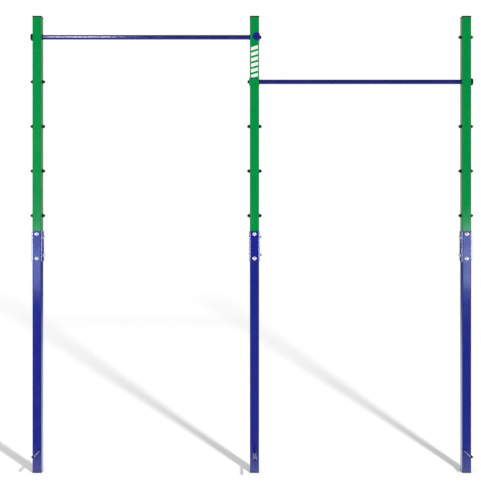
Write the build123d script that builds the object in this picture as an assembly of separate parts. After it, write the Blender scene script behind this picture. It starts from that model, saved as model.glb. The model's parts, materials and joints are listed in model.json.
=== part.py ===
from build123d import *
import os

# Outdoor pull-up station: three square posts in a row, a high bar in the left bay and a lower bar in the
# right bay. Millimetres. X runs to the right along the bars, Y to the rear and Z up. The origin is on the
# ground plane, on the centre post's axis.

# ---- overall sizes ----
TOTAL_HEIGHT = 3000.0
LEFT_BAY = 1428.0
RIGHT_BAY = 1393.0
JOINT_HEIGHT = 1488.0

# ---- post tube ----
POST = 60.0
POST_WALL = 3.0
POST_CORNER = 6.0

# ---- bar levels, counted from the top ----
LEVEL_COUNT = 5
TOP_LEVEL_DROP = 135.0
LEVEL_PITCH = 294.0
UPPER_BAR_LEVEL = 1
LOWER_BAR_LEVEL = 2

# ---- bars ----
BAR_DIAMETER = 30.0
BAR_WALL = 3.0
BAR_EDGE = 0.8
BOSS_LENGTH = 45.0
BOSS_GAP = 0.05
GASKET_DIAMETER = 34.0
GASKET_THICKNESS = 5.0
GASKET_EDGE = 0.8

# ---- bar bolts, M12 ----
BAR_BOLT = 12.0
BAR_BOLT_HOLE_GAP = 0.5
THREAD_GAP = 0.05
BAR_BOLT_ENGAGEMENT = 35.0
BAR_BOLT_HEAD_FLATS = 19.0
BAR_BOLT_HEAD_HEIGHT = 7.5
BAR_BOLT_TIP = 1.5
BAR_BOLT_WASHER_DIAMETER = 24.0
BAR_BOLT_WASHER_THICKNESS = 2.5

# ---- bolt seat and snap-on cover on the outer posts ----
SEAT_DIAMETER = 39.0
SEAT_THICKNESS = 3.5
COVER_WALL = 3.0
COVER_HEIGHT = 15.5
COVER_FIT = 0.05
COVER_STANDOFF = 0.5
COVER_CHAMFER = 2.5
COVER_DISH_DEPTH = 0.8
COVER_DISH_RIM = 4.0

# ---- saddle on the centre post's far face ----
SADDLE_HEIGHT = 49.0
SADDLE_THICKNESS = 5.0
SADDLE_GAP = 0.3
SADDLE_WEB_CORNER = 12.0
SADDLE_EDGE = 0.8

# ---- splice sleeve ----
SLEEVE_LENGTH = 200.0
SLEEVE_WALL = 4.5
SLEEVE_GAP = 0.5
SLEEVE_EDGE = 1.0
FRONT_BOLT_OFFSET = 80.0
SIDE_BOLT_OFFSET = 59.0

# ---- splice bolts, M10 with domed heads ----
SPLICE_BOLT = 10.0
SPLICE_HOLE_GAP = 0.25
SPLICE_HEAD_DIAMETER = 25.0
SPLICE_HEAD_HEIGHT = 6.5
SPLICE_NECK = 9.8
SPLICE_NECK_GAP = 0.3
SPLICE_NECK_LENGTH = 4.2
SPLICE_TAIL = 3.5
SPLICE_TIP = 1.0
SPLICE_WASHER_DIAMETER = 21.0
SPLICE_WASHER_THICKNESS = 2.0
SPLICE_NUT_FLATS = 17.0
SPLICE_NUT_HEIGHT = 8.4

# ---- hole plugs ----
PLUG_BASE_DIAMETER = 24.0
PLUG_RIM = 2.5
PLUG_HEIGHT = 18.0
PLUG_TIP_DIAMETER = 13.0
PLUG_STEM_GAP = 0.25
PLUG_BARB = 0.7
PLUG_BARB_CLEARANCE = 0.3
PLUG_BARB_LENGTH = 6.0
PLUG_TIP_ROUND = 3.0
PLUG_BULGE = 1.0

# ---- end caps ----
TOP_CAP_THICKNESS = 8.0
TOP_CAP_OVERHANG = 0.8
TOP_CAP_EDGE = 1.2
FOOT_CAP_THICKNESS = 5.0
CAP_SKIRT_WALL = 2.5
CAP_SKIRT_DEPTH = 22.0
CAP_SKIRT_GAP = 0.2
CAP_SKIRT_BORE_CORNER = 0.7

# ---- anchor rods, welded through the posts near the ground end ----
ROD_DIAMETER = 16.0
ROD_HEIGHT = 148.0
OUTER_ROD_REACH = 185.0
CENTRE_ROD_REACH = 265.0
ROD_REACH_REAR = 30.0
ROD_INSET = 14.0
ROD_GAP = 0.05
ROD_EDGE = 0.6
ROD_WELD = 2.5

# ---- decal on the centre post ----
DECAL_WIDTH = 46.0
DECAL_THICKNESS = 0.3
DECAL_UPPER_MARGIN = 58.0
DECAL_LOWER_MARGIN = 19.0
STRIPE_COUNT = 6
STRIPE_SHARE = 0.62
STRIPE_SLANT = 14.0

# ---- derived sizes ----
HALF_POST = POST / 2
SLEEVE_HALF = HALF_POST + SLEEVE_GAP + SLEEVE_WALL
BAR_BOLT_HOLE = BAR_BOLT / 2 + BAR_BOLT_HOLE_GAP
SPLICE_HOLE = SPLICE_BOLT / 2 + SPLICE_HOLE_GAP
POST_X = {"left": -LEFT_BAY, "centre": 0.0, "right": RIGHT_BAY}
ROD_X = {"left": ROD_INSET, "centre": 0.0, "right": -ROD_INSET}
ROD_REACH = {"left": OUTER_ROD_REACH, "centre": CENTRE_ROD_REACH, "right": OUTER_ROD_REACH}
LEVELS = [TOTAL_HEIGHT - TOP_LEVEL_DROP - LEVEL_PITCH * step for step in range(LEVEL_COUNT)]
UPPER_BAR_Z = LEVELS[UPPER_BAR_LEVEL - 1]
LOWER_BAR_Z = LEVELS[LOWER_BAR_LEVEL - 1]
BOTTOM_ALIGN = (Align.CENTER, Align.CENTER, Align.MIN)
TOP_ALIGN = (Align.CENTER, Align.CENTER, Align.MAX)


def save(name, shape):
    """Write one node; several separate solids go in as one group."""
    export_step(shape, os.path.join("parts", name + ".step"))


def group(solids):
    """Keep identical separate solids together as one node."""
    return Compound(children=list(solids))


def outward(x, side, z):
    """Place on a side face: local +Z becomes the outward direction, side being -1 or +1 along X."""
    return Pos(x, 0, z) * Rot(0, 90 * side, 0)


def forward(x, y, z):
    """Place on a front face: local +Z becomes -Y."""
    return Pos(x, y, z) * Rot(90, 0, 0)


def rod_along_z(radius, low, high):
    return Pos(0, 0, low) * Cylinder(radius, high - low, align=BOTTOM_ALIGN)


def ring_along_z(outer, inner, low, high):
    return rod_along_z(outer, low, high) - rod_along_z(inner, low - 1, high + 1)


def square_bar(half, corner, low, high):
    profile = RectangleRounded(2 * half, 2 * half, corner)
    return Pos(0, 0, low) * extrude(profile, high - low)


def square_tube(half, wall, corner, low, high):
    return square_bar(half, corner, low, high) - square_bar(half - wall, corner - wall, low - 1, high + 1)


def broken_ends(bar, edge_size):
    """Chamfer the outlines of an upright bar's two end faces."""
    levels = bar.edges().group_by(Axis.Z)
    return chamfer(levels[0] + levels[-1], edge_size)


def hexagon_prism(flats, low, high):
    """Hexagon with its corners broken at both ends."""
    corners = flats / 3**0.5
    prism = Pos(0, 0, low) * extrude(RegularPolygon(flats / 2, 6, major_radius=False), high - low)
    return prism & broken_ends(rod_along_z(corners, low, high), corners - flats / 2)


# ---- post pieces, made on the origin and moved to each post ----


def level_holes():
    return [Pos(0, 0, z) * Rot(0, 90, 0) * Cylinder(BAR_BOLT_HOLE, POST + 2) for z in LEVELS]


def splice_holes(radius, across):
    """Round cross holes through the joint: front to rear further out, side to side further in."""
    holes = []
    for sign in (-1, 1):
        front_z = JOINT_HEIGHT + sign * FRONT_BOLT_OFFSET
        side_z = JOINT_HEIGHT + sign * SIDE_BOLT_OFFSET
        holes.append(Pos(0, 0, front_z) * Rot(90, 0, 0) * Cylinder(radius, across))
        holes.append(Pos(0, 0, side_z) * Rot(0, 90, 0) * Cylinder(radius, across))
    return holes


def lower_post(rod_x):
    tube = square_tube(HALF_POST, POST_WALL, POST_CORNER, FOOT_CAP_THICKNESS, JOINT_HEIGHT)
    rod_hole = Pos(rod_x, 0, ROD_HEIGHT) * Rot(90, 0, 0) * Cylinder(ROD_DIAMETER / 2 + ROD_GAP, POST + 2)
    return tube - splice_holes(SPLICE_HOLE, POST + 2) - rod_hole


def upper_post():
    top = TOTAL_HEIGHT - TOP_CAP_THICKNESS
    tube = square_tube(HALF_POST, POST_WALL, POST_CORNER, JOINT_HEIGHT, top)
    return tube - splice_holes(SPLICE_HOLE, POST + 2) - level_holes()


def splice_stations(head_side):
    """Every splice bolt's place: local +Z points out of the face that its head sits on."""
    stations = []
    for sign in (-1, 1):
        stations.append(forward(0, -SLEEVE_HALF, JOINT_HEIGHT + sign * FRONT_BOLT_OFFSET))
        side_z = JOINT_HEIGHT + sign * SIDE_BOLT_OFFSET
        stations.append(outward(head_side * SLEEVE_HALF, head_side, side_z))
    return stations


def splice_sleeve(head_side):
    low = JOINT_HEIGHT - SLEEVE_LENGTH / 2
    high = JOINT_HEIGHT + SLEEVE_LENGTH / 2
    corner = POST_CORNER + SLEEVE_GAP + SLEEVE_WALL
    outside = broken_ends(square_bar(SLEEVE_HALF, corner, low, high), SLEEVE_EDGE)
    bore = square_bar(SLEEVE_HALF - SLEEVE_WALL, corner - SLEEVE_WALL, low - 1, high + 1)
    neck = SPLICE_NECK + 2 * SPLICE_NECK_GAP
    slot_depth = SLEEVE_WALL + SLEEVE_GAP / 2
    slot = Pos(0, 0, 1) * Box(neck, neck, slot_depth + 1, align=TOP_ALIGN)
    slots = [station * slot for station in splice_stations(head_side)]
    return outside - bore - splice_holes(SPLICE_HOLE, 2 * SLEEVE_HALF + 2) - slots


def domed_bolt():
    """Mushroom head on local z = 0, square neck and shank below it."""
    rise = SPLICE_HEAD_HEIGHT
    half = SPLICE_HEAD_DIAMETER / 2
    ball = (half**2 + rise**2) / (2 * rise)
    head = (Pos(0, 0, rise - ball) * Sphere(ball)) & rod_along_z(half, 0, rise)
    neck = Box(SPLICE_NECK, SPLICE_NECK, SPLICE_NECK_LENGTH, align=TOP_ALIGN)
    grip = 2 * SLEEVE_HALF + SPLICE_WASHER_THICKNESS + SPLICE_NUT_HEIGHT + SPLICE_TAIL
    shank = rod_along_z(SPLICE_BOLT / 2, -grip, 0)
    shank = chamfer(shank.edges().group_by(Axis.Z)[0], SPLICE_TIP)
    return head + neck + shank


def splice_washer():
    top = -2 * SLEEVE_HALF
    bottom = top - SPLICE_WASHER_THICKNESS
    return ring_along_z(SPLICE_WASHER_DIAMETER / 2, SPLICE_HOLE, bottom, top)


def splice_nut():
    top = -2 * SLEEVE_HALF - SPLICE_WASHER_THICKNESS
    bottom = top - SPLICE_NUT_HEIGHT
    nut = hexagon_prism(SPLICE_NUT_FLATS, bottom, top)
    return nut - rod_along_z(SPLICE_BOLT / 2 + THREAD_GAP, bottom - 1, top + 1)


def cap_skirt(low, high):
    half = HALF_POST - POST_WALL - CAP_SKIRT_GAP
    corner = POST_CORNER - POST_WALL - CAP_SKIRT_GAP
    skirt = square_bar(half, corner, low, high)
    return skirt - square_bar(half - CAP_SKIRT_WALL, CAP_SKIRT_BORE_CORNER, low - 1, high + 1)


def top_cap():
    low = TOTAL_HEIGHT - TOP_CAP_THICKNESS
    plate = square_bar(HALF_POST + TOP_CAP_OVERHANG, POST_CORNER + TOP_CAP_OVERHANG, low, TOTAL_HEIGHT)
    plate = fillet(plate.edges().group_by(Axis.Z)[-1], TOP_CAP_EDGE)
    return plate + cap_skirt(low - CAP_SKIRT_DEPTH, low)


def foot_cap():
    plate = square_bar(HALF_POST, POST_CORNER, 0, FOOT_CAP_THICKNESS)
    return plate + cap_skirt(FOOT_CAP_THICKNESS, FOOT_CAP_THICKNESS + CAP_SKIRT_DEPTH)


def anchor_rod(rod_x, reach):
    """Round rod through the post, with a weld bead where it leaves the front and the rear face."""
    radius = ROD_DIAMETER / 2
    rod = broken_ends(rod_along_z(radius, -POST - ROD_REACH_REAR, reach), ROD_EDGE)
    bead = Cone(radius + ROD_WELD, radius, ROD_WELD, align=BOTTOM_ALIGN)
    welded = rod + bead + Pos(0, 0, -POST) * Rot(180, 0, 0) * bead
    return forward(rod_x, -HALF_POST, ROD_HEIGHT) * welded


# ---- hole plug, on local z = 0 of the post's side face ----


def hole_plug():
    """Domed head outside the post, stem through the wall and a barb behind it, turned in one piece."""
    base = PLUG_BASE_DIAMETER / 2
    tip = PLUG_TIP_DIAMETER / 2
    shoulder = PLUG_HEIGHT - PLUG_TIP_ROUND
    stem = BAR_BOLT_HOLE - PLUG_STEM_GAP
    barb_top = -POST_WALL - PLUG_BARB_CLEARANCE
    stem_end = barb_top - PLUG_BARB_LENGTH
    outline = [
        Polyline((0, stem_end), (stem, stem_end), (BAR_BOLT_HOLE + PLUG_BARB, barb_top), (stem, barb_top)),
        Polyline((stem, barb_top), (stem, 0), (base, 0), (base, PLUG_RIM)),
        ThreePointArc((base, PLUG_RIM), ((base + tip) / 2 + PLUG_BULGE, shoulder / 2), (tip, shoulder)),
        CenterArc((tip - PLUG_TIP_ROUND, shoulder), PLUG_TIP_ROUND, 0, 90),
        Polyline((tip - PLUG_TIP_ROUND, PLUG_HEIGHT), (0, PLUG_HEIGHT), (0, stem_end)),
    ]
    return revolve(Plane.XZ * make_face(outline), Axis.Z)


# ---- bars ----


def bar_span(bar):
    """X of the bar tube's two ends, and its height."""
    if bar == "upper":
        return (-LEFT_BAY + HALF_POST + GASKET_THICKNESS, -HALF_POST - GASKET_THICKNESS, UPPER_BAR_Z)
    return (HALF_POST + GASKET_THICKNESS, RIGHT_BAY - HALF_POST - GASKET_THICKNESS, LOWER_BAR_Z)


def bar_tube(bar):
    low, high, z = bar_span(bar)
    length = high - low
    outside = broken_ends(rod_along_z(BAR_DIAMETER / 2, 0, length), BAR_EDGE)
    bore = rod_along_z(BAR_DIAMETER / 2 - BAR_WALL, -1, length + 1)
    return Pos(low, 0, z) * Rot(0, 90, 0) * (outside - bore)


def end_boss():
    """Threaded plug flush with the bar's end; local z = 0 is the end face and the boss is below it."""
    return ring_along_z(
        BAR_DIAMETER / 2 - BAR_WALL - BOSS_GAP, BAR_BOLT / 2 + THREAD_GAP, -BOSS_LENGTH, 0
    )


def gasket():
    """Rubber ring between a bar's end, at local z = 0, and the post."""
    disc = broken_ends(rod_along_z(GASKET_DIAMETER / 2, 0, GASKET_THICKNESS), GASKET_EDGE)
    return disc - rod_along_z(BAR_BOLT_HOLE, -1, GASKET_THICKNESS + 1)


# ---- bar bolts and what their heads clamp; local z = 0 is the post's face ----


def bar_bolt(stack):
    """Hexagon bolt whose head sits on a stack of this height and whose tip is in the bar's boss."""
    head = hexagon_prism(BAR_BOLT_HEAD_FLATS, stack, stack + BAR_BOLT_HEAD_HEIGHT)
    tip = -POST - GASKET_THICKNESS - BAR_BOLT_ENGAGEMENT
    shank = rod_along_z(BAR_BOLT / 2, tip, stack)
    return head + chamfer(shank.edges().group_by(Axis.Z)[0], BAR_BOLT_TIP)


def bolt_seat():
    return ring_along_z(SEAT_DIAMETER / 2, BAR_BOLT_HOLE, 0, SEAT_THICKNESS)


def bolt_cover():
    """Cup over the bolt's head, with a dished face, snapped over the seat's rim."""
    inner = SEAT_DIAMETER / 2 + COVER_FIT
    outer = inner + COVER_WALL
    cup = rod_along_z(outer, COVER_STANDOFF, COVER_HEIGHT)
    cup = chamfer(cup.edges().group_by(Axis.Z)[-1], COVER_CHAMFER)
    cup -= rod_along_z(inner, COVER_STANDOFF - 1, COVER_HEIGHT - COVER_WALL)
    dish = outer - COVER_DISH_RIM
    ball = (dish**2 + COVER_DISH_DEPTH**2) / (2 * COVER_DISH_DEPTH)
    return cup - Pos(0, 0, COVER_HEIGHT - COVER_DISH_DEPTH + ball) * Sphere(ball)


def saddle():
    """Bent plate round the post's side: the web is on the +X face and the cheeks are on front and rear."""
    inner = HALF_POST + SADDLE_GAP
    outer = inner + SADDLE_THICKNESS
    half_height = SADDLE_HEIGHT / 2
    corner = POST_CORNER + SADDLE_GAP + SADDLE_THICKNESS
    wrap = square_tube(outer, SADDLE_THICKNESS, corner, -half_height, half_height)
    centre = outer - half_height
    web_half = Pos(centre + outer / 2, 0) * Rectangle(outer, SADDLE_HEIGHT)
    outline = Pos(centre, 0) * RectangleRounded(SADDLE_HEIGHT, SADDLE_HEIGHT, SADDLE_WEB_CORNER) & web_half
    outline += Pos(centre, 0) * Circle(half_height)
    side_view = Rot(90, 0, 0) * extrude(outline, outer + 1, both=True)
    bent = wrap & side_view
    return bent - Rot(0, 90, 0) * rod_along_z(BAR_BOLT_HOLE, 0, outer + 1)


def saddle_washer():
    """Plain washer on the saddle's web."""
    low = SADDLE_GAP + SADDLE_THICKNESS
    return ring_along_z(BAR_BOLT_WASHER_DIAMETER / 2, BAR_BOLT_HOLE, low, low + BAR_BOLT_WASHER_THICKNESS)


# ---- decal ----


def stripe_decal():
    """Slanted stripes on the centre post's front face, between the two bar levels."""
    low = LOWER_BAR_Z + DECAL_LOWER_MARGIN
    high = UPPER_BAR_Z - DECAL_UPPER_MARGIN
    pitch = (high - low) / STRIPE_COUNT
    rise = pitch * STRIPE_SHARE
    half = DECAL_WIDTH / 2
    stripes = []
    for step in range(STRIPE_COUNT):
        base = low + step * pitch
        outline = Polyline(
            (-half, base),
            (half, base + STRIPE_SLANT),
            (half, base + STRIPE_SLANT + rise),
            (-half, base + rise),
            close=True,
        )
        stripe = Rot(90, 0, 0) * extrude(make_face(outline), DECAL_THICKNESS)
        stripes.append(Pos(0, -HALF_POST, 0) * stripe)
    return group(stripes)


# ---- assembly ----


def build_post(name):
    """Everything that one post carries, apart from the bars' hardware."""
    x = POST_X[name]
    head_side = 1 if name == "right" else -1
    place = Pos(x, 0, 0)
    save(name + "_lower_post", place * lower_post(ROD_X[name]))
    save(name + "_upper_post", place * upper_post())
    save(name + "_splice_sleeve", place * splice_sleeve(head_side))
    save(name + "_top_cap", place * top_cap())
    save(name + "_foot_cap", place * foot_cap())
    save(name + "_anchor_rod", place * anchor_rod(ROD_X[name], ROD_REACH[name]))
    stations = [place * station for station in splice_stations(head_side)]
    save(name + "_splice_bolts", group(station * domed_bolt() for station in stations))
    save(name + "_splice_washers", group(station * splice_washer() for station in stations))
    save(name + "_splice_nuts", group(station * splice_nut() for station in stations))


def build_plugs(name, post, side, used):
    """Plugs in one side face of a post, at every level whose number isn't in used."""
    face = POST_X[post] + side * HALF_POST
    free = [z for number, z in enumerate(LEVELS, start=1) if number not in used]
    save(name, group(outward(face, side, z) * hole_plug() for z in free))


def build_bar(bar, outer_post):
    """A bar with its inner pieces and the bolts at both of its ends."""
    low, high, z = bar_span(bar)
    outer_side = -1 if outer_post == "left" else 1
    outer_end = low if outer_side < 0 else high
    centre_end = high if outer_side < 0 else low
    save(bar + "_bar_tube", bar_tube(bar))
    save(bar + "_bar_outer_boss", outward(outer_end, outer_side, z) * end_boss())
    save(bar + "_bar_centre_boss", outward(centre_end, -outer_side, z) * end_boss())
    save(bar + "_bar_outer_gasket", outward(outer_end, outer_side, z) * gasket())
    save(bar + "_bar_centre_gasket", outward(centre_end, -outer_side, z) * gasket())

    at_outer = outward(POST_X[outer_post] + outer_side * HALF_POST, outer_side, z)
    save(bar + "_bar_outer_bolt", at_outer * bar_bolt(SEAT_THICKNESS))
    save(bar + "_bar_outer_seat", at_outer * bolt_seat())
    save(bar + "_bar_outer_cover", at_outer * bolt_cover())

    at_centre = outward(-outer_side * HALF_POST, -outer_side, z)
    stack = SADDLE_GAP + SADDLE_THICKNESS + BAR_BOLT_WASHER_THICKNESS
    save(bar + "_bar_centre_bolt", at_centre * bar_bolt(stack))
    save(bar + "_bar_centre_washer", at_centre * saddle_washer())
    turn = 0 if outer_side < 0 else 180
    save(bar + "_bar_centre_saddle", Pos(0, 0, z) * Rot(0, 0, turn) * saddle())


os.makedirs("parts", exist_ok=True)
for post_name in POST_X:
    build_post(post_name)
build_bar("upper", "left")
build_bar("lower", "right")
both = (UPPER_BAR_LEVEL, LOWER_BAR_LEVEL)
build_plugs("left_outer_plugs", "left", -1, (UPPER_BAR_LEVEL,))
build_plugs("left_inner_plugs", "left", 1, (UPPER_BAR_LEVEL,))
build_plugs("centre_left_plugs", "centre", -1, both)
build_plugs("centre_right_plugs", "centre", 1, both)
build_plugs("right_inner_plugs", "right", -1, (LOWER_BAR_LEVEL,))
build_plugs("right_outer_plugs", "right", 1, (LOWER_BAR_LEVEL,))
save("stripe_decal", stripe_decal())
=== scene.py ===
import json
import math

import bmesh
import bpy
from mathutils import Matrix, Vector


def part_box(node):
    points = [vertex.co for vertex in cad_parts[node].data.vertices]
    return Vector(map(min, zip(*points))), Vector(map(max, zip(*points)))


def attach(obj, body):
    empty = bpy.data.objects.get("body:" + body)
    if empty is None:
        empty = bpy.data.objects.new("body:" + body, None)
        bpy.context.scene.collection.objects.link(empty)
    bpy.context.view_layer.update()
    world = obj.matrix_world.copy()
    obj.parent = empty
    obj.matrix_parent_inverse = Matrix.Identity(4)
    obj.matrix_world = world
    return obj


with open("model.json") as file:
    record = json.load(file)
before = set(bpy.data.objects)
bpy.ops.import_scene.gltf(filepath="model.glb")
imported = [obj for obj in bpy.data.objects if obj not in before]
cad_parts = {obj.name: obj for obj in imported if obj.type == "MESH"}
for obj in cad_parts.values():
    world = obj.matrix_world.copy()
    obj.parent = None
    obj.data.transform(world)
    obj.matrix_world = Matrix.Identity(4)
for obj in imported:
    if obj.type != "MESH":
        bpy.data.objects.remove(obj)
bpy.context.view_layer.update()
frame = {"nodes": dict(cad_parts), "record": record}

# Outdoor pull-up station: three spliced square posts, a high bar and a lower bar. Metres, Z up, X along the
# bars, the origin on the ground under the centre post.

POSTS = ("left", "centre", "right")
BARS = ("upper", "lower")

# ---------------------------------------------------------------- camera and studio

CAMERA_PLACE = (-0.092, -6.030, 1.522)
CAMERA_LENS = 68.3
SENSOR_WIDTH = 36.0
CLIP_END = 1000.0

# What the camera sees behind the object, and what the gloss mirrors from the front and from the rear.
BACKDROP_WHITE = 1.02
REFLECTED_FRONT = 0.012
REFLECTED_REAR = 0.42
REAR_BEGINS = 0.6
DIFFUSE_SKY = 0.45

# The floor, and a painted reflection of it that only glossy rays see, unlike its own pale colour:
# pale behind the posts, dim far off, nearly black in front, with a painted glow near the posts.
# The fades are distances along Y, where 0 is the posts' own line.
FLOOR_REACH = 400.0
FLOOR_PAINT = (0.86, 0.86, 0.86, 1.0)
FLOOR_GLOW = 0.565
FLOOR_GLOW_MIRRORED = 0.35
FLOOR_MIRRORED_NEAR = (0.80, 0.80, 0.84, 1.0)
FLOOR_MIRRORED_FAR = (0.22, 0.22, 0.25, 1.0)
FLOOR_MIRRORED_FRONT = (0.06, 0.06, 0.07, 1.0)
FRONT_FADE = -1.0
FAR_FADE = (2.0, 22.0)
GLOW_FADE = (1.5, 16.0)

BAR_NODES = ("upper_bar_tube", "lower_bar_tube")
SPLICE_PARTS = ("_splice_sleeve", "_splice_bolts", "_splice_nuts")
SPLICE_NODES = tuple(post + part for post in POSTS for part in SPLICE_PARTS)
# name, place, the way it faces, width and height, radiance, colour, and the only nodes it lights, where none
# listed means all
SOFTBOXES = [
    ("left_softbox", (-2.60, -6.2, 1.28), (0.4, 1, 0), (1.0, 0.85), 4.4, (0.52, 0.66, 1.0), ()),
    ("right_softbox", (2.95, -6.2, 1.30), (-0.4, 1, 0), (0.9, 0.85), 5.0, (0.62, 0.78, 1.0), ()),
    ("top_softbox", (-0.5, -4.2, 6.2), (0, 1, -1), (5.0, 1.6), 1.1, (0.86, 0.90, 1.0), ()),
    ("bar_strip", (-2.24, -6.2, 3.6), (0, 1, -0.1), (0.86, 5.0), 30.0, (0.74, 0.74, 1.0), BAR_NODES),
    ("left_rim", (-4.6, -1.6, 1.45), (1, 0.4, 0), (2.6, 0.6), 34.0, (0.80, 0.80, 1.0), SPLICE_NODES),
    ("right_rim", (4.6, -1.6, 1.45), (-1, 0.4, 0), (2.6, 0.6), 34.0, (0.80, 0.80, 1.0), SPLICE_NODES),
]
FILL_PLACE = (-1.9, -5.2, 2.2)
FILL_DIRECTION = (0.28, 1, -0.12)
FILL_SIZE = 2.4
FILL_ENERGY = 72.0
SUN_PLACE = (4, -8, 3)
SUN_DIRECTION = (-0.33, 1.0, -0.25)
SUN_ANGLE = 4.0
SUN_STRENGTH = 1.0
LAMP_PLACE = (2.15, -6.03, 3.93)
LAMP_RADIUS = 0.20
LAMP_ENERGY = 44.0
# The lamp's share of the floor's brightness, times the distance from the lamp.
LAMP_ON_FLOOR = FLOOR_PAINT[0] * LAMP_PLACE[2] * LAMP_ENERGY / (4 * math.pi ** 2)


def aim(obj, direction):
    obj.rotation_euler = Vector(direction).to_track_quat("-Z", "Y").to_euler()


def link(obj):
    bpy.context.scene.collection.objects.link(obj)
    return obj


def add_camera():
    data = bpy.data.cameras.new("camera")
    data.lens = CAMERA_LENS
    data.sensor_width = SENSOR_WIDTH
    data.clip_end = CLIP_END
    camera = link(bpy.data.objects.new("camera", data))
    camera.location = CAMERA_PLACE
    aim(camera, (0, 1, 0))
    bpy.context.scene.camera = camera


def add_light(name, kind, place, direction, **settings):
    data = bpy.data.lights.new(name, kind)
    for key, value in settings.items():
        setattr(data, key, value)
    light = link(bpy.data.objects.new(name, data))
    light.location = place
    aim(light, direction)
    return light


def light_only(light, receivers):
    """The light reaches these objects and no others; everything still throws its shadow."""
    group = bpy.data.collections.new(light.name + "_receivers")
    for obj in receivers:
        group.objects.link(obj)
    light.light_linking.receiver_collection = group


def add_lights(floor):
    """Softboxes that only gloss shows, a fill and a sun that gloss does not show, and the floor's lamp."""
    for name, place, facing, (width, height), radiance, colour, nodes in SOFTBOXES:
        softbox = add_light(name, "AREA", place, facing, shape="RECTANGLE", size=width, size_y=height)
        softbox.data.energy = radiance * width * height * math.pi
        softbox.data.color = colour
        softbox.visible_diffuse = False
        if nodes:
            light_only(softbox, [frame["nodes"][node] for node in nodes])
    fill = add_light("fill", "AREA", FILL_PLACE, FILL_DIRECTION, size=FILL_SIZE, energy=FILL_ENERGY)
    fill.visible_glossy = False
    sun = add_light("far_key", "SUN", SUN_PLACE, SUN_DIRECTION, energy=SUN_STRENGTH)
    sun.data.angle = math.radians(SUN_ANGLE)
    sun.visible_glossy = False
    sun.data.use_shadow = False
    add_floor_lamp(floor)


def add_floor_lamp(floor):
    """A lamp that reaches only the floor, as strong far off as near, and draws the soft shadows on it."""
    lamp = add_light("floor_lamp", "POINT", LAMP_PLACE, (0, 0, -1), energy=LAMP_ENERGY)
    lamp.data.shadow_soft_size = LAMP_RADIUS
    lamp.data.use_nodes = True
    tree = lamp.data.node_tree
    even = add_node(tree, "ShaderNodeLightFalloff", {"Strength": 1.0}).outputs["Constant"]
    tree.links.new(even, tree.nodes["Emission"].inputs["Strength"])
    light_only(lamp, [floor])


# ---------------------------------------------------------------- node helpers


def add_node(tree, kind, sockets=None, **settings):
    """A node whose sockets, by name or number, are each linked from a socket or set to a value."""
    made = tree.nodes.new(kind)
    for key, value in settings.items():
        setattr(made, key, value)
    for socket, source in (sockets or {}).items():
        target = made.inputs[socket]
        if isinstance(source, bpy.types.NodeSocket):
            tree.links.new(source, target)
        else:
            target.default_value = source
    return made


def maths(tree, operation, a, b=0.0, clamp=False):
    return add_node(tree, "ShaderNodeMath", {0: a, 1: b}, operation=operation, use_clamp=clamp).outputs[0]


def times(tree, a, b, clamp=False):
    return maths(tree, "MULTIPLY", a, b, clamp)


def plus(tree, a, b, clamp=False):
    return maths(tree, "ADD", a, b, clamp)


def minus(tree, a, b, clamp=False):
    return maths(tree, "SUBTRACT", a, b, clamp)


def greater(tree, a, b):
    return maths(tree, "MAXIMUM", a, b)


def ramp(tree, value, low, high, to_low=0.0, to_high=1.0):
    """Smooth step that goes from to_low, where the value is low, to to_high, where it is high."""
    sockets = {"Value": value, "From Min": low, "From Max": high, "To Min": to_low, "To Max": to_high}
    return add_node(tree, "ShaderNodeMapRange", sockets, interpolation_type="SMOOTHSTEP").outputs["Result"]


def blend_colours(tree, factor, a, b):
    return add_node(tree, "ShaderNodeMix", {0: factor, 6: a, 7: b}, data_type="RGBA").outputs[2]


def blend_values(tree, factor, a, b):
    return add_node(tree, "ShaderNodeMix", {0: factor, 2: a, 3: b}, data_type="FLOAT").outputs[0]


def noise(tree, coords, scale, detail=2.0, stretch=None):
    if stretch:
        coords = add_node(tree, "ShaderNodeMapping", {"Vector": coords, "Scale": stretch}).outputs[0]
    sockets = {"Vector": coords, "Scale": scale, "Detail": detail}
    return add_node(tree, "ShaderNodeTexNoise", sockets).outputs["Fac"]


def cells(tree, coords, scale):
    return add_node(tree, "ShaderNodeTexVoronoi", {"Vector": coords, "Scale": scale})


def object_coords(tree):
    return add_node(tree, "ShaderNodeTexCoord").outputs["Object"]


def surface_normal(tree):
    return add_node(tree, "ShaderNodeNewGeometry").outputs["Normal"]


def part_of(tree, vector, axis):
    return add_node(tree, "ShaderNodeSeparateXYZ", {0: vector}).outputs[axis]


# The kind of socket that each kind of default value asks for.
SOCKET_KINDS = {
    float: "NodeSocketFloat",
    int: "NodeSocketInt",
    tuple: "NodeSocketColor",
    Vector: "NodeSocketVector",
}
ORIGIN = Vector((0, 0, 0))


def new_group(name, inputs, outputs):
    """An empty shader group. Inputs are label and default value, outputs are label and kind of socket."""
    tree = bpy.data.node_groups.new(name, "ShaderNodeTree")
    for label, default in inputs:
        kind = SOCKET_KINDS[type(default)]
        tree.interface.new_socket(label, in_out="INPUT", socket_type=kind).default_value = default
    for label, kind in outputs:
        tree.interface.new_socket(label, in_out="OUTPUT", socket_type=kind)
    return tree, tree.nodes.new("NodeGroupInput").outputs, tree.nodes.new("NodeGroupOutput").inputs


def use_group(tree, group, sockets):
    return add_node(tree, "ShaderNodeGroup", sockets, node_tree=group).outputs


# ---------------------------------------------------------------- shared surface effects


# How far noise, which keeps near its middle, is stretched, and how far the hue follows the brightness.
NOISE_GAIN = 4.0
HUE_DRIFT = -0.03
# The bend of the surface at which an edge starts and is fully there, as the cosine of the turn.
EDGE_BEND = (0.965, 0.80)


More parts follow.
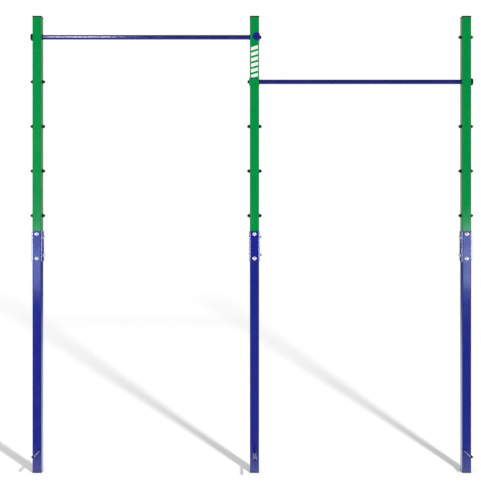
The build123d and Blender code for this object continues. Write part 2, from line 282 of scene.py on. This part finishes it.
def build_tone_group():
    """A colour that drifts slowly along the piece and is finely speckled."""
    tree, given, out = new_group(
        "colour drift",
        [("Coordinates", ORIGIN), ("Colour", (0.5, 0.5, 0.5, 1.0)), ("Drift", 0.08), ("Speckle", 0.04)],
        [("Colour", "NodeSocketColor")],
    )
    slow = noise(tree, given["Coordinates"], 2.3, 3.0)
    fine = noise(tree, given["Coordinates"], 1400.0, 1.0)
    slow = times(tree, minus(tree, slow, 0.5), times(tree, given["Drift"], NOISE_GAIN))
    fine = times(tree, minus(tree, fine, 0.5), times(tree, given["Speckle"], NOISE_GAIN))
    value = plus(tree, plus(tree, slow, fine), 1.0)
    hue = plus(tree, times(tree, slow, HUE_DRIFT), 0.5)
    toned = add_node(tree, "ShaderNodeHueSaturation", {"Hue": hue, "Value": value, "Color": given["Colour"]})
    tree.links.new(toned.outputs[0], out["Colour"])
    return tree


def build_edge_group():
    """Where handling rubs: a mask along the edges, and small chips where its patches are worn hardest."""
    tree, given, out = new_group(
        "edge wear",
        [("Coordinates", ORIGIN), ("Radius", 0.0015), ("Amount", 0.5)],
        [("Rubbed", "NodeSocketFloat"), ("Chips", "NodeSocketFloat")],
    )
    rounded = add_node(tree, "ShaderNodeBevel", {"Radius": given["Radius"]}, samples=4).outputs[0]
    bend = {0: rounded, 1: surface_normal(tree)}
    along = add_node(tree, "ShaderNodeVectorMath", bend, operation="DOT_PRODUCT").outputs["Value"]
    edge = ramp(tree, along, *EDGE_BEND)
    patches = noise(tree, given["Coordinates"], 45.0, 4.0)
    grit = noise(tree, given["Coordinates"], 420.0, 2.0)
    reach = minus(tree, 0.78, times(tree, given["Amount"], 0.4))
    worn = ramp(tree, times(tree, patches, edge), times(tree, reach, 0.55), reach)
    chips = ramp(tree, times(tree, times(tree, grit, worn), 1.6), 0.70, 0.80)
    tree.links.new(times(tree, edge, given["Amount"]), out["Rubbed"])
    tree.links.new(chips, out["Chips"])
    return tree


def build_dust_group():
    """Dry soil: splashes and drops within Reach of the ground, and a film on upward faces."""
    tree, given, out = new_group(
        "ground dust",
        [("Coordinates", ORIGIN), ("Reach", 0.22), ("Amount", 0.5)],
        [("Mask", "NodeSocketFloat"), ("Height", "NodeSocketFloat")],
    )
    coords = given["Coordinates"]
    blots = noise(tree, coords, 60.0, 5.0)
    drops = cells(tree, coords, 160.0).outputs["Distance"]
    height = maths(tree, "DIVIDE", part_of(tree, coords, "Z"), given["Reach"])
    painted_reflection_glow = minus(tree, 1.0, height, clamp=True)
    splash = ramp(tree, plus(tree, blots, times(tree, painted_reflection_glow, 0.45)), 0.66, 0.95)
    splash = times(tree, splash, ramp(tree, painted_reflection_glow, 0.0, 0.3))
    spots = times(tree, ramp(tree, drops, 0.16, 0.10), ramp(tree, painted_reflection_glow, 0.1, 0.9, 0.0, 0.7))
    up = part_of(tree, surface_normal(tree), "Z")
    settled = times(tree, ramp(tree, up, 0.55, 0.95), ramp(tree, blots, 0.3, 0.7, 0.15, 0.6))
    mask = greater(tree, greater(tree, splash, spots), settled)
    mask = times(tree, mask, given["Amount"], clamp=True)
    tree.links.new(mask, out["Mask"])
    tree.links.new(times(tree, mask, noise(tree, coords, 700.0, 3.0)), out["Height"])
    return tree


def build_scratch_group():
    """Fine scratches at two slants, drawn as thin bands of stretched noise."""
    tree, given, out = new_group(
        "fine scratches",
        [("Coordinates", ORIGIN), ("Amount", 0.5)],
        [("Mask", "NodeSocketFloat")],
    )
    masks = []
    for turn, scale in ((0.35, 170.0), (-0.6, 230.0)):
        slant = {"Vector": given["Coordinates"], "Rotation": (0.3, turn, turn)}
        turned = add_node(tree, "ShaderNodeMapping", slant).outputs[0]
        bands = noise(tree, turned, scale, 1.0, stretch=(1.0, 1.0, 0.02))
        gaps = noise(tree, turned, 14.0, 1.0)
        line = maths(tree, "ABSOLUTE", minus(tree, bands, 0.5))
        masks.append(times(tree, ramp(tree, line, 0.012, 0.0), ramp(tree, gaps, 0.52, 0.6)))
    both = greater(tree, masks[0], masks[1])
    tree.links.new(times(tree, both, given["Amount"], clamp=True), out["Mask"])
    return tree


TONE = build_tone_group()
EDGE = build_edge_group()
DUST = build_dust_group()
SCRATCHES = build_scratch_group()

# ---------------------------------------------------------------- materials

DUST_COLOUR = (0.30, 0.25, 0.19, 1.0)
BARE_STEEL = (0.20, 0.19, 0.18, 1.0)
RUST = (0.16, 0.075, 0.035, 1.0)
SAWN_DARK = (0.004, 0.004, 0.006, 1.0)
SAWN_PALE = (0.03, 0.022, 0.018, 1.0)
RUBBED_METAL = (0.62, 0.61, 0.6, 1.0)
TURNED_BRIGHT = (0.50, 0.49, 0.48, 1.0)
TURNED_OILY = (0.30, 0.25, 0.20, 1.0)
RUBBER = (0.010, 0.010, 0.011, 1.0)
RUBBER_BLOOM = (0.055, 0.054, 0.052, 1.0)
FILM = (0.74, 0.82, 0.78, 1.0)
FILM_FADED = (0.50, 0.66, 0.58, 1.0)
PAINT_UNDER_FILM = (0.03, 0.25, 0.08, 1.0)
# Depths of the finest relief, in metres.
COAT_RELIEF = 0.00010
PLATE_RELIEF = 0.00003
PLASTIC_RELIEF = 0.00006
SOFT_RELIEF = 0.00008


def new_material(name, **constants):
    """A material with one Principled shader, and the values that are the same all over it."""
    material = bpy.data.materials.new(name)
    material.use_nodes = True
    tree = material.node_tree
    shader = tree.nodes["Principled BSDF"]
    for label, value in constants.items():
        shader.inputs[label.replace("_", " ")].default_value = value
    return material, tree, shader


def finish_surface(tree, shader, colour, roughness, height, distance, metallic=None):
    """Links the last colour, roughness and bump to the shader."""
    tree.links.new(colour, shader.inputs["Base Color"])
    tree.links.new(roughness, shader.inputs["Roughness"])
    if metallic is not None:
        tree.links.new(metallic, shader.inputs["Metallic"])
    bump = add_node(tree, "ShaderNodeBump", {"Strength": 1.0, "Distance": distance, "Height": height})
    tree.links.new(bump.outputs[0], shader.inputs["Normal"])


def powder_coat(name, colour, rubbed, wear, dust, roughness=0.13, cut_ends=False):
    """Glossy powder coat on steel: orange peel, rubbed and chipped edges, scratches and ground dust."""
    material, tree, shader = new_material(name, Coat_Weight=0.25, Coat_Roughness=0.06, Coat_IOR=1.5, IOR=1.47)
    coords = object_coords(tree)
    tone = {"Coordinates": coords, "Colour": colour, "Drift": 0.06, "Speckle": 0.02}
    toned = use_group(tree, TONE, tone)["Colour"]
    edge = use_group(tree, EDGE, {"Coordinates": coords, "Radius": 0.0016, "Amount": wear})
    soil = use_group(tree, DUST, {"Coordinates": coords, "Reach": 0.20, "Amount": dust})
    scratch = use_group(tree, SCRATCHES, {"Coordinates": coords, "Amount": 0.6})["Mask"]
    paint = blend_colours(tree, edge["Rubbed"], toned, rubbed)
    paint = blend_colours(tree, times(tree, scratch, 0.35), paint, rubbed)
    steel = blend_colours(tree, noise(tree, coords, 900.0, 3.0), BARE_STEEL, RUST)
    bare = edge["Chips"]
    if cut_ends:
        end = maths(tree, "ABSOLUTE", part_of(tree, surface_normal(tree), "Y"))
        end = ramp(tree, end, 0.90, 0.96)
        saw = noise(tree, coords, 260.0, 2.0, stretch=(1.0, 1.0, 9.0))
        steel = blend_colours(tree, end, steel, blend_colours(tree, saw, SAWN_DARK, SAWN_PALE))
        bare = greater(tree, bare, end)
    body = blend_colours(tree, bare, paint, steel)
    body = blend_colours(tree, times(tree, soil["Mask"], 0.75), body, DUST_COLOUR)
    cloud = noise(tree, coords, 9.0, 3.0)
    rough = ramp(tree, cloud, 0.3, 0.7, roughness - 0.03, roughness + 0.05)
    rough = plus(tree, rough, times(tree, scratch, 0.2))
    rough = plus(tree, rough, times(tree, greater(tree, soil["Mask"], bare), 0.4))
    peel = noise(tree, coords, 330.0, 2.0)
    waves = noise(tree, coords, 42.0, 1.0)
    height = plus(tree, times(tree, peel, 0.35), times(tree, waves, 0.9))
    height = minus(tree, height, times(tree, bare, 1.2))
    height = minus(tree, height, times(tree, scratch, 0.3))
    height = plus(tree, height, times(tree, soil["Height"], 2.0))
    finish_surface(tree, shader, body, rough, height, COAT_RELIEF, times(tree, bare, 0.6))
    return material


def plated_steel(name, bright, dull, roughness, grain_scale, tarnish=0.4, metallic=1.0):
    """Plated or blackened steel: crystal grain, tarnish in blots, and bright metal where edges rub."""
    material, tree, shader = new_material(name, Metallic=metallic)
    coords = object_coords(tree)
    edge = use_group(tree, EDGE, {"Coordinates": coords, "Radius": 0.0008, "Amount": 0.4})
    soil = use_group(tree, DUST, {"Coordinates": coords, "Reach": 0.05, "Amount": 0.06})
    scratch = use_group(tree, SCRATCHES, {"Coordinates": coords, "Amount": 0.5})["Mask"]
    grain = part_of(tree, cells(tree, coords, grain_scale).outputs["Color"], "X")
    blots = ramp(tree, noise(tree, coords, 150.0, 4.0), 0.42, 0.68, 0.0, tarnish)
    colour = blend_colours(tree, times(tree, grain, 0.35), bright, dull)
    colour = blend_colours(tree, blots, colour, dull)
    colour = blend_colours(tree, greater(tree, edge["Chips"], edge["Rubbed"]), colour, RUBBED_METAL)
    colour = blend_colours(tree, times(tree, soil["Mask"], 0.6), colour, DUST_COLOUR)
    rough = plus(tree, times(tree, grain, 0.08), roughness)
    rough = plus(tree, rough, times(tree, blots, 0.25))
    rough = plus(tree, rough, times(tree, scratch, 0.15), clamp=True)
    height = plus(tree, times(tree, grain, 0.2), noise(tree, coords, 800.0, 2.0))
    height = minus(tree, height, times(tree, scratch, 0.6))
    finish_surface(tree, shader, colour, rough, height, PLATE_RELIEF)
    return material


def turned_steel(name):
    """Bare turned steel: fine tool rings across the bar's axis, with an oily bloom."""
    material, tree, shader = new_material(name, Metallic=1.0)
    coords = object_coords(tree)
    wave = {"Vector": coords, "Scale": 900.0, "Distortion": 0.6, "Detail": 1.0}
    rings = add_node(tree, "ShaderNodeTexWave", wave, wave_type="BANDS", bands_direction="X").outputs["Fac"]
    bloom = noise(tree, coords, 70.0, 4.0)
    colour = blend_colours(tree, bloom, TURNED_BRIGHT, TURNED_OILY)
    rough = ramp(tree, bloom, 0.3, 0.8, 0.28, 0.5)
    finish_surface(tree, shader, colour, rough, rings, PLATE_RELIEF)
    return material


def moulded_plastic(name, colour, rubbed, roughness):
    """Injection-moulded plastic: spark-eroded grain, flow marks, paler rubbed edges and settled dust."""
    material, tree, shader = new_material(name, IOR=1.5)
    coords = object_coords(tree)
    tone = {"Coordinates": coords, "Colour": colour, "Drift": 0.15, "Speckle": 0.1}
    toned = use_group(tree, TONE, tone)["Colour"]
    edge = use_group(tree, EDGE, {"Coordinates": coords, "Radius": 0.0007, "Amount": 0.3})
    soil = use_group(tree, DUST, {"Coordinates": coords, "Reach": 0.05, "Amount": 0.12})
    flow = noise(tree, coords, 120.0, 2.0, stretch=(0.3, 1.0, 1.0))
    body = blend_colours(tree, plus(tree, edge["Rubbed"], edge["Chips"], clamp=True), toned, rubbed)
    body = blend_colours(tree, times(tree, soil["Mask"], 0.5), body, DUST_COLOUR)
    rough = ramp(tree, flow, 0.3, 0.7, roughness - 0.05, roughness + 0.08)
    rough = plus(tree, rough, times(tree, soil["Mask"], 0.3), clamp=True)
    pits = cells(tree, coords, 2600.0).outputs["Distance"]
    height = plus(tree, times(tree, pits, 0.6), times(tree, flow, 0.8))
    finish_surface(tree, shader, body, rough, height, PLASTIC_RELIEF)
    return material


def soft_rubber(name):
    """Cut rubber sheet: matt, cloudy with bloom and faintly pitted."""
    material, tree, shader = new_material(name, IOR=1.52)
    coords = object_coords(tree)
    bloom = ramp(tree, noise(tree, coords, 90.0, 4.0), 0.4, 0.75, 0.0, 0.5)
    body = blend_colours(tree, bloom, RUBBER, RUBBER_BLOOM)
    soil = use_group(tree, DUST, {"Coordinates": coords, "Reach": 0.05, "Amount": 0.2})
    body = blend_colours(tree, soil["Mask"], body, DUST_COLOUR)
    rough = ramp(tree, bloom, 0.0, 0.5, 0.62, 0.85)
    pits = cells(tree, coords, 1500.0).outputs["Distance"]
    height = plus(tree, pits, noise(tree, coords, 300.0))
    finish_surface(tree, shader, body, rough, height, SOFT_RELIEF)
    return material


def printed_film(name):
    """White self-adhesive film: soft gloss, trapped bubbles, and chipped edges that show the paint below."""
    material, tree, shader = new_material(name, Coat_Weight=0.3, Coat_Roughness=0.2)
    coords = object_coords(tree)
    edge = use_group(tree, EDGE, {"Coordinates": coords, "Radius": 0.0010, "Amount": 0.7})
    tone = {"Coordinates": coords, "Colour": FILM, "Drift": 0.05, "Speckle": 0.04}
    toned = use_group(tree, TONE, tone)["Colour"]
    fade = ramp(tree, noise(tree, coords, 35.0, 4.0), 0.45, 0.75, 0.0, 0.35)
    body = blend_colours(tree, fade, toned, FILM_FADED)
    body = blend_colours(tree, edge["Chips"], body, PAINT_UNDER_FILM)
    bubbles = ramp(tree, cells(tree, coords, 130.0).outputs["Distance"], 0.30, 0.05)
    bubbles = times(tree, bubbles, ramp(tree, noise(tree, coords, 40.0, 1.0), 0.58, 0.66))
    rough = ramp(tree, fade, 0.0, 0.35, 0.30, 0.48)
    height = plus(tree, bubbles, noise(tree, coords, 500.0))
    finish_surface(tree, shader, body, rough, height, SOFT_RELIEF)
    return material


GREEN = (0.0001, 0.240, 0.048, 1.0)
GREEN_RUBBED = (0.012, 0.33, 0.10, 1.0)
BLUE = (0.0095, 0.0150, 0.210, 1.0)
BLUE_RUBBED = (0.055, 0.065, 0.36, 1.0)
# The bars' blue is the posts' blue painted darker, as painted shade for the dimmer light along the bars.
SHADED_BAR_BLUE = (0.0080, 0.0090, 0.130, 1.0)
ZINC = (0.92, 0.93, 0.98, 1.0)
ZINC_DULL = (0.62, 0.64, 0.70, 1.0)
BLACK_ZINC = (0.055, 0.055, 0.07, 1.0)
BLACK_ZINC_DULL = (0.018, 0.018, 0.022, 1.0)
BLACK_PLASTIC = (0.008, 0.008, 0.009, 1.0)
BLACK_PLASTIC_RUBBED = (0.05, 0.05, 0.052, 1.0)

FINISHES = {
    "green_paint": powder_coat("green powder coat", GREEN, GREEN_RUBBED, wear=0.12, dust=0.05),
    "blue_paint": powder_coat("blue powder coat", BLUE, BLUE_RUBBED, wear=0.14, dust=0.07),
    "zinc_plate": plated_steel("bright zinc plate", ZINC, ZINC_DULL, 0.34, 700.0, tarnish=0.15, metallic=0.6),
    "bare_steel": turned_steel("turned bare steel"),
    "dark_steel": plated_steel("black zinc plate", BLACK_ZINC, BLACK_ZINC_DULL, 0.3, 900.0),
    "black_plastic": moulded_plastic("black moulded plastic", BLACK_PLASTIC, BLACK_PLASTIC_RUBBED, 0.42),
    "black_rubber": soft_rubber("cut black rubber"),
    "white_decal": printed_film("white printed film"),
}
ROD_FINISH = powder_coat(
    "blue powder coat, sawn ends", BLUE, BLUE_RUBBED, wear=0.1, dust=0.0, cut_ends=True
)
# Painted shade: the bar tubes get the posts' blue darkened, a little rougher, with no wear or dust.
BAR_FINISH = powder_coat(
    "blue powder coat, painted darker as shade", SHADED_BAR_BLUE, BLUE_RUBBED, wear=0.0, dust=0.0, roughness=0.15
)
SLOTS = {part["node"]: part["material_slot"] for part in frame["record"]["subparts"]}


def finish_cad_nodes():
    """Every CAD node keeps its shape and gets the finish of its slot."""
    for name, obj in frame["nodes"].items():
        finish = FINISHES[SLOTS[name]]
        if name.endswith("_anchor_rod"):
            finish = ROD_FINISH
        # Painted shade: the bar tubes take the darkened blue in place of their slot's paint.
        if name.endswith("_bar_tube"):
            finish = BAR_FINISH
        for index in range(len(obj.material_slots)):
            obj.material_slots[index].material = finish


# ---------------------------------------------------------------- repeated details, grown by geometry nodes

OUTWARD = "outward"


def new_grower(name, inputs, unit):
    """A geometry tree that puts one unit on each given point, its Z along the point's outward vector.

    unit(tree, given) adds the unit's nodes and returns its geometry; every size is a named input.
    """
    tree = bpy.data.node_groups.new(name, "GeometryNodeTree")
    tree.interface.new_socket("Geometry", in_out="INPUT", socket_type="NodeSocketGeometry")
    for label, default in inputs:
        kind = SOCKET_KINDS[type(default)]
        tree.interface.new_socket(label, in_out="INPUT", socket_type=kind).default_value = default
    tree.interface.new_socket("Material", in_out="INPUT", socket_type="NodeSocketMaterial")
    tree.interface.new_socket("Geometry", in_out="OUTPUT", socket_type="NodeSocketGeometry")
    given = tree.nodes.new("NodeGroupInput").outputs
    out = tree.nodes.new("NodeGroupOutput").inputs
    piece = unit(tree, given)
    facing = add_node(tree, "GeometryNodeInputNamedAttribute", {"Name": OUTWARD}, data_type="FLOAT_VECTOR")
    turn = add_node(tree, "FunctionNodeAlignRotationToVector", {"Vector": facing.outputs[0]}, axis="Z")
    placed = add_node(
        tree, "GeometryNodeInstanceOnPoints",
        {"Points": given["Geometry"], "Instance": piece, "Rotation": turn.outputs[0]},
    )
    real = add_node(tree, "GeometryNodeRealizeInstances", {"Geometry": placed.outputs[0]})
    paint = {"Geometry": real.outputs[0], "Material": given["Material"]}
    painted = add_node(tree, "GeometryNodeSetMaterial", paint)
    tree.links.new(painted.outputs[0], out["Geometry"])
    return tree


def vector_of(tree, x, y, z):
    return add_node(tree, "ShaderNodeCombineXYZ", {0: x, 1: y, 2: z}).outputs[0]


def ring_of_beads(tree, given):
    """Beads round a circle: each is a stretched ball that leans outwards by Slope, inwards if below 0."""
    circle = add_node(tree, "GeometryNodeMeshCircle", {"Vertices": given["Count"], "Radius": given["Radius"]})
    ball = add_node(tree, "GeometryNodeMeshIcoSphere", {"Radius": 0.5, "Subdivisions": 2})
    size = vector_of(tree, given["Depth"], given["Width"], given["Length"])
    lean = vector_of(tree, 0.0, given["Slope"], 0.0)
    lift = vector_of(tree, 0.0, 0.0, given["Height"])
    soft = add_node(tree, "GeometryNodeSetShadeSmooth", {"Geometry": ball.outputs[0]})
    shape = {"Geometry": soft.outputs[0], "Scale": size, "Rotation": lean}
    bead = add_node(tree, "GeometryNodeTransform", shape)
    where = add_node(tree, "GeometryNodeInputPosition").outputs[0]
    turn = add_node(
        tree, "FunctionNodeAlignRotationToVector", {"Vector": where}, axis="X", pivot_axis="Z"
    )
    ring = add_node(
        tree, "GeometryNodeInstanceOnPoints",
        {"Points": circle.outputs[0], "Instance": bead.outputs[0], "Rotation": turn.outputs[0]},
    )
    raised = {"Geometry": ring.outputs[0], "Translation": lift}
    return add_node(tree, "GeometryNodeTransform", raised).outputs[0]


def screw_ridge(tree, given):
    """A helical ridge of four-sided section, partly sunk in its shank, rising along Z from Start."""
    turns = add_node(
        tree, "GeometryNodeCurveSpiral",
        {
            "Resolution": given["Steps"], "Rotations": given["Turns"], "Start Radius": given["Radius"],
            "End Radius": given["Radius"], "Height": given["Rise"],
        },
    )
    section = add_node(tree, "GeometryNodeCurvePrimitiveCircle", {"Resolution": 4, "Radius": given["Ridge"]})
    swept = add_node(
        tree, "GeometryNodeCurveToMesh",
        {"Curve": turns.outputs[0], "Profile Curve": section.outputs[0], "Fill Caps": True},
    )
    lift = vector_of(tree, 0.0, 0.0, given["Start"])
    moved = add_node(tree, "GeometryNodeTransform", {"Geometry": swept.outputs[0], "Translation": lift})
    return moved.outputs[0]


BEADS = new_grower(
    "ring of moulded or welded beads",
    [
        ("Count", 12), ("Radius", 0.01), ("Height", 0.0), ("Length", 0.008), ("Width", 0.0016),
        ("Depth", 0.001), ("Slope", 0.0),
    ],
    ring_of_beads,
)
RIDGES = new_grower(
    "screw thread",
    [("Steps", 24), ("Turns", 2.0), ("Radius", 0.005), ("Rise", 0.003), ("Start", 0.0), ("Ridge", 0.0004)],
    screw_ridge,
)


def grow(name, body, slot, grower, places, **sizes):
    """A plain mesh of one grower's units on places, each a point and an outward vector, riding on a body."""
    seed = bpy.data.meshes.new(name + "_places")
    seed.from_pydata([tuple(point) for point, _ in places], [], [])
    facing = seed.attributes.new(OUTWARD, "FLOAT_VECTOR", "POINT")
    for index, (_, direction) in enumerate(places):
        facing.data[index].vector = direction
    piece = link(bpy.data.objects.new(name, seed))
    modifier = piece.modifiers.new("grow", "NODES")
    modifier.node_group = grower
    values = {label.replace("_", " "): value for label, value in sizes.items()}
    values["Material"] = FINISHES[slot]
    for item in grower.interface.items_tree:
        if item.in_out == "INPUT" and item.name in values:
            modifier[item.identifier] = values[item.name]
    bpy.context.view_layer.update()
    evaluated = piece.evaluated_get(bpy.context.evaluated_depsgraph_get())
    grown = bpy.data.meshes.new_from_object(evaluated)
    piece.modifiers.remove(modifier)
    grown.name = name
    piece.data = grown
    bpy.data.meshes.remove(seed)
    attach(piece, body)
    return piece


# ---------------------------------------------------------------- where the details go

MERGE_GAP = 0.00001


def middle(node):
    low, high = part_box(node)
    return (low + high) / 2


def solids_of(node):
    """Lowest and highest corners of each separate solid of a node, found on a merged copy of its mesh."""
    work = bmesh.new()
    work.from_mesh(frame["nodes"][node].data)
    bmesh.ops.remove_doubles(work, verts=work.verts, dist=MERGE_GAP)
    found = []
    reached = set()
    for start in work.verts:
        if start in reached:
            continue
        reached.add(start)
        solid = [start]
        for vertex in solid:
            fresh = [edge.other_vert(vertex) for edge in vertex.link_edges]
            fresh = [other for other in fresh if other not in reached]
            reached.update(fresh)
            solid.extend(fresh)
        low = Vector([min(vertex.co[axis] for vertex in solid) for axis in range(3)])
        high = Vector([max(vertex.co[axis] for vertex in solid) for axis in range(3)])
        found.append((low, high))
    work.free()
    return found


# node, post, and the way its plugs face
PLUG_ROWS = [
    ("left_outer_plugs", "left", -1),
    ("left_inner_plugs", "left", 1),
    ("centre_left_plugs", "centre", -1),
    ("centre_right_plugs", "centre", 1),
    ("right_inner_plugs", "right", -1),
    ("right_outer_plugs", "right", 1),
]


def face_x(post, way):
    low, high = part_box(post + "_upper_post")
    return high.x if way > 0 else low.x


def add_plug_ribs():
    """Twelve moulded grip ribs up the flank of every hole plug."""
    places = []
    for node, post, way in PLUG_ROWS:
        for low, high in solids_of(node):
            centre = (low + high) / 2
            places.append((Vector((face_x(post, way), centre.y, centre.z)), Vector((way, 0, 0))))
    grow(
        "plug_ribs", "frame", "black_plastic", BEADS, places,
        Count=12, Radius=0.0101, Height=0.0085, Length=0.0100, Width=0.0015, Depth=0.0014, Slope=-0.37,
    )


def add_cover_ribs():
    """Grip ribs round each snap cover, along its pull."""
    for bar, way in (("upper", -1), ("lower", 1)):
        low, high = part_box(bar + "_bar_outer_cover")
        centre = (low + high) / 2
        base = high.x if way < 0 else low.x
        radius = (high.z - low.z) / 2
        grow(
            bar + "_cover_ribs", bar + "_outer_cover", "black_plastic", BEADS,
            [(Vector((base, centre.y, centre.z)), Vector((way, 0, 0)))],
            Count=32, Radius=radius, Height=0.0068, Length=0.0100, Width=0.0018, Depth=0.0012, Slope=0.0,
        )


def add_weld_ripples():
    """The ripples of the weld bead that goes round each rod where it passes the post's wall."""
    places = []
    for post in POSTS:
        rod = middle(post + "_anchor_rod")
        low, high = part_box(post + "_lower_post")
        places.append((Vector((rod.x, low.y, rod.z)), Vector((0, -1, 0))))
        places.append((Vector((rod.x, high.y, rod.z)), Vector((0, 1, 0))))
    grow(
        "weld_ripples", "frame", "blue_paint", BEADS, places,
        Count=18, Radius=0.0093, Height=0.0008, Length=0.0024, Width=0.0026, Depth=0.0024, Slope=0.0,
    )


def add_splice_threads():
    """Rolled thread on each splice bolt's tail, beyond its nut."""
    places = []
    for post in POSTS:
        axis = middle(post + "_upper_post")
        for low, high in solids_of(post + "_splice_nuts"):
            centre = (low + high) / 2
            across = centre - axis
            if abs(across.y) > abs(across.x):
                places.append((Vector((centre.x, high.y, centre.z)), Vector((0, 1, 0))))
            elif across.x > 0:
                places.append((Vector((high.x, centre.y, centre.z)), Vector((1, 0, 0))))
            else:
                places.append((Vector((low.x, centre.y, centre.z)), Vector((-1, 0, 0))))
    grow(
        "splice_threads", "frame", SLOTS["left_splice_bolts"], RIDGES, places,
        Steps=28, Turns=1.5, Radius=0.0049, Rise=0.0022, Start=0.0001, Ridge=0.00034,
    )


def add_bar_bolt_threads():
    """Rolled thread over the inner end of each bar bolt, where the boss in the bar's end takes it."""
    for bar in BARS:
        for end in ("outer", "centre"):
            node = bar + "_bar_" + end + "_bolt"
            low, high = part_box(node)
            centre = (low + high) / 2
            tip, way = (high.x, -1) if centre.x < middle(bar + "_bar_tube").x else (low.x, 1)
            grow(
                node + "_thread", bar + "_" + end + "_bolt", SLOTS[node], RIDGES,
                [(Vector((tip, centre.y, centre.z)), Vector((way, 0, 0)))],
                Steps=24, Turns=25.0, Radius=0.0059, Rise=0.04375, Start=0.0020, Ridge=0.00032,
            )


# ---------------------------------------------------------------- studio


def build_world():
    """White for the camera. The gloss mirrors it dark towards the front and pale towards the rear."""
    world = bpy.data.worlds.new("studio")
    bpy.context.scene.world = world
    world.use_nodes = True
    tree = world.node_tree
    facing = part_of(tree, add_node(tree, "ShaderNodeTexCoord").outputs["Generated"], "Y")
    rear = ramp(tree, facing, 0.0, REAR_BEGINS, REFLECTED_FRONT, REFLECTED_REAR)
    rays = add_node(tree, "ShaderNodeLightPath").outputs
    lit = blend_values(tree, rays["Is Diffuse Ray"], rear, DIFFUSE_SKY)
    strength = blend_values(tree, rays["Is Camera Ray"], lit, BACKDROP_WHITE)
    background = tree.nodes["Background"]
    background.inputs["Color"].default_value = (1.0, 1.0, 1.0, 1.0)
    tree.links.new(strength, background.inputs["Strength"])


def build_floor():
    """A pale floor out to the backdrop; it glows, less the lamp's share, so that no horizon shows."""
    mesh = bpy.data.meshes.new("floor")
    corners = [(x * FLOOR_REACH, y * FLOOR_REACH, 0) for x, y in ((-1, -1), (1, -1), (1, 1), (-1, 1))]
    mesh.from_pydata(corners, [], [(0, 1, 2, 3)])
    floor = link(bpy.data.objects.new("floor", mesh))
    material, tree, shader = new_material("pale floor", Roughness=0.9, Specular_IOR_Level=0.1)
    rays = add_node(tree, "ShaderNodeLightPath").outputs
    along = part_of(tree, object_coords(tree), "Y")
    # Painted reflection: glossy rays see the floor pale near behind the posts, dim far off and nearly black
    # in front.
    mirrored = blend_colours(tree, ramp(tree, along, *FAR_FADE), FLOOR_MIRRORED_NEAR, FLOOR_MIRRORED_FAR)
    mirrored = blend_colours(tree, ramp(tree, along, 0.0, FRONT_FADE), mirrored, FLOOR_MIRRORED_FRONT)
    tint = blend_colours(tree, rays["Is Glossy Ray"], FLOOR_PAINT, mirrored)
    tree.links.new(tint, shader.inputs["Base Color"])
    shader.inputs["Emission Color"].default_value = (1.0, 1.0, 1.0, 1.0)
    # Painted reflection: a glow that only glossy rays see, strongest near behind the posts.
    painted_reflection_glow = times(tree, ramp(tree, along, GLOW_FADE[1], GLOW_FADE[0]), ramp(tree, along, FRONT_FADE, 0.0))
    painted_reflection_glow = times(tree, painted_reflection_glow, times(tree, rays["Is Glossy Ray"], FLOOR_GLOW_MIRRORED))
    span = {0: object_coords(tree), 1: LAMP_PLACE}
    away = add_node(tree, "ShaderNodeVectorMath", span, operation="DISTANCE").outputs["Value"]
    glow = minus(tree, FLOOR_GLOW, maths(tree, "DIVIDE", LAMP_ON_FLOOR, away))
    glow = plus(tree, times(tree, rays["Is Camera Ray"], glow), painted_reflection_glow)
    tree.links.new(glow, shader.inputs["Emission Strength"])
    mesh.materials.append(material)
    return floor


bpy.context.scene.view_settings.view_transform = "Standard"
add_camera()
build_world()
add_lights(build_floor())
finish_cad_nodes()
add_plug_ribs()
add_cover_ribs()
add_weld_ripples()
add_splice_threads()
add_bar_bolt_threads()
